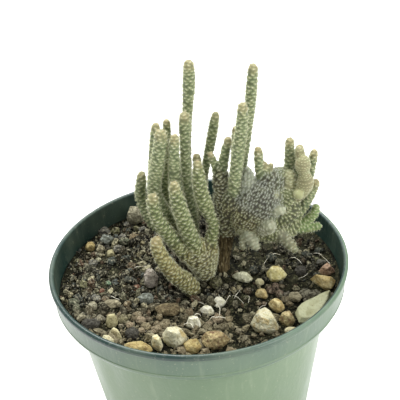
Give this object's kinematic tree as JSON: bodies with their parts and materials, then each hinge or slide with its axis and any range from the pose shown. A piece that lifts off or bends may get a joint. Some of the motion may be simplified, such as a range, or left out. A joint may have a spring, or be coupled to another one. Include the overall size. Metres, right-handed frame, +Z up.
{
  "type": "potted crested maihueniopsis",
  "caption": "Small cactus with finger-like stems and a crested fan, growing in gritty soil with pale stones in a round plastic nursery pot.",
  "frame": {"origin": "centre of the pot's foot, on the surface that it stands on", "axes": "+Z up along the pot's axis; -Y towards the side that the picture shows, with the crested fan at +X"},
  "size_m": [0.1, 0.1, 0.15],
  "materials": {
    "pot": "satin moulded, slightly translucent",
    "soil": "gritty matte",
    "branched": "matte skin with tubercles",
    "crested": "matte skin under pale spines",
    "low": "matte skin with tubercles",
    "cork": "rough cork",
    "tan": "rough",
    "yellow": "rough",
    "ochre": "rough",
    "cream": "rough",
    "white": "rough",
    "slab": "rough",
    "rust": "rough, speckled",
    "pumice": "porous",
    "grey": "porous",
    "dark": "porous",
    "bark": "fibrous"
  },
  "bodies": {
    "root": {"pot": "pot", "soil": "soil", "branched_stem": "branched", "crested_stem": "crested", "low_stem": "low", "corky_stalk": "cork", "stone_01": "tan", "stone_02": "yellow", "stone_03": "tan", "stone_04": "ochre", "stone_05": "ochre", "stone_06": "cream", "stone_07": "yellow", "stone_08": "slab", "stone_09": "ochre", "stone_10": "rust", "stone_11": "white", "stone_12": "white", "stone_13": "cream", "stone_14": "cream", "stone_15": "cream", "stone_16": "rust", "stone_17": "yellow", "stone_18": "ochre", "stone_19": "tan", "stone_20": "cream", "stone_21": "cream", "stone_22": "pumice", "stone_23": "yellow", "stone_24": "tan", "stone_25": "cream", "stone_26": "pumice", "stone_27": "grey", "stone_28": "grey", "stone_29": "dark", "stone_30": "tan", "stone_31": "bark", "stone_32": "dark", "stone_33": "rust", "stone_34": "dark", "stone_35": "cream", "stone_36": "grey"}
  },
  "joints": []
}
